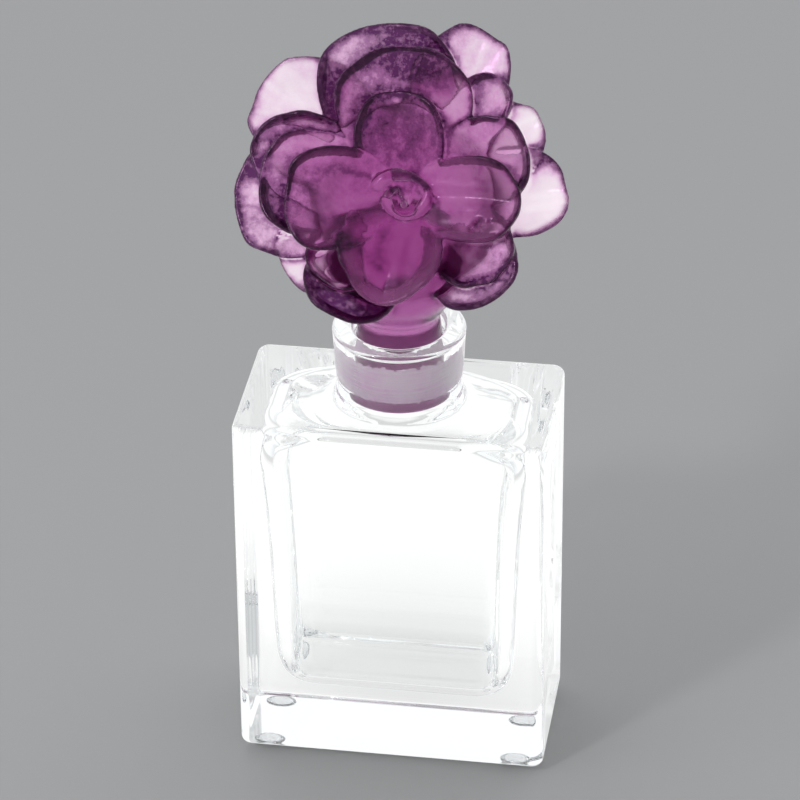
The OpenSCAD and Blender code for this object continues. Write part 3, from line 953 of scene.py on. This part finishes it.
def mark_surface(mesh, source_co, owners, layouts):
    """Stores how satin each point is and how deep its colour, with the painted shade of bands and
    streaks.
    """
    co = get_co(mesh)
    count = len(co)
    edges = mesh_edges(mesh)
    flat = to_bloom(co)
    facing = mesh_normals(mesh) @ np.array(bloom_out)
    tree = KDTree(len(source_co))
    for i, c in enumerate(source_co):
        tree.insert(c, i)
    tree.balance()
    owner = owners[np.array([tree.find(c)[1] for c in co])]
    in_flower = co[:, 2] > lip_z + FLOWER_FROM
    depth = np.where(in_flower, CALYX_TONE, 0)
    for i, layout in enumerate(layouts):
        own = np.flatnonzero(owner == i)
        depth[own] = petal_depth(layout, flat[own])
    depth = spread(depth, edges, count, 2)
    # band: painted shadow that the rims throw on the petals behind, then painted shade streaks
    band, covered = np.zeros(count), np.zeros(count)
    for i, layout in enumerate(layouts):
        near_by = np.flatnonzero((owner != i) & (co[:, 2] > lip_z + 6 * MM))
        dark, hidden = painted_cast_shade(layout, flat[near_by])
        band[near_by] = np.maximum(band[near_by], dark)
        covered[near_by] = np.maximum(covered[near_by], hidden)
    away = np.hypot(flat[:, 0], flat[:, 1]) + 2.5 * noise_at(co, 60, 8)
    heart = np.clip((30 - away) / 14, 0, 1)
    heart = heart * np.clip((co[:, 2] - lip_z - FLOWER_FROM) / (8 * MM), 0, 1)
    covered = np.maximum(covered, np.clip(-facing / 0.3, 0, 1))
    hidden_depth = HEART_TONE * heart + 0.22 * np.maximum(depth - 1.2, 0)
    depth = depth * (1 - covered) + hidden_depth * covered
    band *= 1 - covered
    in_front = (facing > 0) & (flat[:, 2] > -8)
    # Painted shade along folds, crevices and petal borders, round the bud and round the pits
    for x0, y0, x1, y1, width, strength in STREAKS:
        step = np.array([x1 - x0, y1 - y0])
        rel = flat[:, :2] - (x0, y0)
        along = np.clip(rel @ step / (step @ step), 0, 1)
        away = np.linalg.norm(rel - along[:, None] * step, axis=1)
        band = np.maximum(band, strength * np.exp(-(away / width) ** 2) * in_front)
    depth = np.clip(depth + PAINTED_SHADE_TONE * spread(band, edges, count, 1), 0, DEEPEST)
    satin = np.where(facing > 0.1, FACE_SATIN, BACK_SATIN)
    satin = np.where(in_flower, satin, STEM_SATIN)
    satin = np.where(co[:, 2] < bore_top_z, PLUG_SATIN, satin)
    for key, values in (("satin", spread(satin, edges, count, 3)), ("depth", depth / DEEPEST)):
        layer = mesh.attributes.new(key, "FLOAT", "POINT")
        layer.data.foreach_set("value", values.astype(np.float32))


def keep_inside(mesh):
    """Holds the flower within the frame's own box."""
    low = np.min([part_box(n)[0] for n in STOPPER], axis=0)
    high = np.max([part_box(n)[1] for n in STOPPER], axis=0)
    set_co(mesh, np.clip(get_co(mesh), low, high))


def true_up_plug(mesh):
    """Brings the ground plug back to its exact cylinder after the fusing."""
    co = get_co(mesh)
    r = np.hypot(co[:, 0], co[:, 1])
    wall = (co[:, 2] < bore_top_z) & (co[:, 2] > plug_low.z + 0.9 * MM) & (r > 0.8 * plug_r)
    scale = np.where(wall, plug_r / np.maximum(r, 1e-9), 1)
    co[:, 0] *= scale
    co[:, 1] *= scale
    set_co(mesh, co)


# ---------------------------------------------------------------- feet
def make_foot(name, plastic):
    """A domed bumper. Its glue wets the glass, so its top lies a hair inside the underside."""
    low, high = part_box(name)
    cx, cy = (low.x + high.x) / 2 / MM, (low.y + high.y) / 2 / MM
    r = (high.x - low.x) / 2 / MM
    h = high.z / MM
    top = h + GLUE_WET
    profile = curve_through([(r * 0.55, 0), (r * 0.72, 0.06 * h), (r * 0.88, 0.3 * h),
                             (r * 0.97, 0.6 * h), (r, 0.85 * h), (r, top - 0.06)], 18).tolist()
    rows = [(r * 0.3, 0.0)] + profile + [(r * 0.97, top), (r * 0.6, top)]
    u = np.arange(FOOT_POINTS) * 2 * math.pi / FOOT_POINTS
    rings = []
    for radius, z in rows:
        flat = np.stack([cx + radius * np.cos(u), cy + radius * np.sin(u)], 1)
        rings.append(at_level(flat, max(z, 0.0)))
    obj = skin(name + "_bumper", rings, (cx, cy, 0), (cx, cy, top))
    obj.data.materials.append(plastic)
    return obj


# ---------------------------------------------------------------- stage
FLOOR_SIZE = 3.0
FLOOR_GREY = 0.40
ROOM_GREY = 0.45
# Strength of the floor's painted glow as the glass sees it: a painted pool of light behind the
# bottle fading to the edge, and a painted shadow under the bottle
TABLE_GLOW = 1.08
TABLE_EDGE = 0.75
TABLE_UNDER = 0.72
TENT_BRIGHT = 1.08
TENT_DARK = 0.5
SOFTBOX = 0.8
# Glass this thick goes black with fewer bounces
GLASS_BOUNCES = 32


def make_floor():
    """A pale matt floor. Through the glass it is seen glowing, as on a light table."""
    mesh = bpy.data.meshes.new("floor")
    corners = [(x * FLOOR_SIZE, y * FLOOR_SIZE) for x, y in ((-1, -1), (1, -1), (1, 1), (-1, 1))]
    mesh.from_pydata([(x, y, -0.0002) for x, y in corners], [], [(0, 1, 2, 3)])
    floor = add_object("floor", mesh)
    mat, nodes, links, bsdf, out = new_material("pale_floor")
    bsdf.inputs["Base Color"].default_value = (FLOOR_GREY, FLOOR_GREY, FLOOR_GREY, 1)
    bsdf.inputs["Roughness"].default_value = 0.9
    glow = nodes.new("ShaderNodeEmission")
    away = nodes.new("ShaderNodeVectorMath")
    away.operation = "DISTANCE"
    away.inputs[1].default_value = (0, 0.15, 0)
    links.new(object_coords(nodes), away.inputs[0])
    # Painted pool of light behind the bottle, fading to the edge, then a painted shadow under the
    # bottle
    lit = map_range(nodes, links, away.outputs["Value"], 0.19, 0.5, TABLE_GLOW, TABLE_EDGE)
    under = nodes.new("ShaderNodeVectorMath")
    under.operation = "LENGTH"
    links.new(object_coords(nodes), under.inputs[0])
    shadow = map_range(nodes, links, under.outputs["Value"], 0.02, 0.07, TABLE_UNDER, 1)
    links.new(math_node(nodes, links, "MULTIPLY", lit, shadow), glow.inputs["Strength"])
    split_by_ray(nodes, links, glow.outputs[0], bsdf.outputs[0], out)
    mesh.materials.append(mat)


def make_world():
    """A soft white tent, darker in front where the camera stands, with a softbox to the left."""
    world = bpy.data.worlds.new("studio")
    bpy.context.scene.world = world
    world.use_nodes = True
    nodes, links = world.node_tree.nodes, world.node_tree.links
    tent = nodes["Background"]
    coords = nodes.new("ShaderNodeTexCoord").outputs["Generated"]
    toward = nodes.new("ShaderNodeVectorMath")
    toward.operation = "DOT_PRODUCT"
    toward.inputs[1].default_value = Vector((0.12, -0.80, 0.58)).normalized()
    links.new(coords, toward.inputs[0])
    shade = map_range(nodes, links, toward.outputs["Value"], -0.1, 0.85, TENT_BRIGHT, TENT_DARK)
    key = nodes.new("ShaderNodeVectorMath")
    key.operation = "DOT_PRODUCT"
    key.inputs[1].default_value = Vector((-0.75, -0.55, 0.62)).normalized()
    links.new(coords, key.inputs[0])
    box = map_range(nodes, links, key.outputs["Value"], 0.90, 0.96, 0, SOFTBOX)
    links.new(math_node(nodes, links, "ADD", shade, box), tent.inputs["Strength"])
    tent.inputs["Color"].default_value = (0.96, 0.98, 1, 1)
    room = nodes.new("ShaderNodeBackground")
    room.inputs["Color"].default_value = (ROOM_GREY, ROOM_GREY, ROOM_GREY, 1)
    split_by_ray(nodes, links, tent.outputs[0], room.outputs[0], nodes["World Output"])


def make_light(name, place, target, size, power):
    data = bpy.data.lights.new(name, "AREA")
    data.shape = "RECTANGLE"
    data.size, data.size_y = size
    data.energy = power
    obj = add_object(name, data)
    obj.location = place
    obj.rotation_euler = (Vector(target) - Vector(place)).to_track_quat("-Z", "Y").to_euler()


def make_camera():
    """The camera stands in front, a little to the right, and looks down on the bottle."""
    yaw, pitch, roll = math.radians(8.868), math.radians(31.499), math.radians(-0.468)
    away, across, lift = 1.00096, -0.00055, 0.07216
    forward = Vector((-math.sin(yaw) * math.cos(pitch), math.cos(yaw) * math.cos(pitch),
                      -math.sin(pitch)))
    right = Vector((math.cos(yaw), math.sin(yaw), 0))
    up = right.cross(forward)
    right_r = right * math.cos(roll) + up * math.sin(roll)
    up_r = up * math.cos(roll) - right * math.sin(roll)
    data = bpy.data.cameras.new("camera")
    data.sensor_width = 36
    data.lens = 193.44
    obj = add_object("camera", data)
    place = right_r * across + up_r * lift - forward * away + Vector((0, 0, glass_z))
    obj.matrix_world = Matrix((
        (right_r.x, up_r.x, -forward.x, place.x),
        (right_r.y, up_r.y, -forward.y, place.y),
        (right_r.z, up_r.z, -forward.z, place.z),
        (0, 0, 0, 1),
    ))
    bpy.context.scene.camera = obj


# ---------------------------------------------------------------- build
shoulder_mm = glass_z / MM + BLOCK_H

clear, ground, purple, plastic = clear_glass(), ground_glass(), purple_glass(), bumper_plastic()

bottle = make_bottle(clear, ground)
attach(bottle, "bottle")
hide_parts("bottle")

stopper = make_stopper(purple)
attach(stopper, "stopper")
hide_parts(*STOPPER)

for node in FEET:
    foot = make_foot(node, plastic)
    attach(foot, "bottle")
    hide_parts(node)

make_floor()
make_world()
make_light("glint", (-0.55, -0.75, 0.75), (0, 0, 0.12), (0.12, 0.12), 2.2)
make_camera()

scene = bpy.context.scene
cycles = scene.cycles
cycles.max_bounces = cycles.transmission_bounces = cycles.glossy_bounces = GLASS_BOUNCES
cycles.transparent_max_bounces = GLASS_BOUNCES
scene.view_settings.view_transform = "Standard"

bpy.context.view_layer.update()
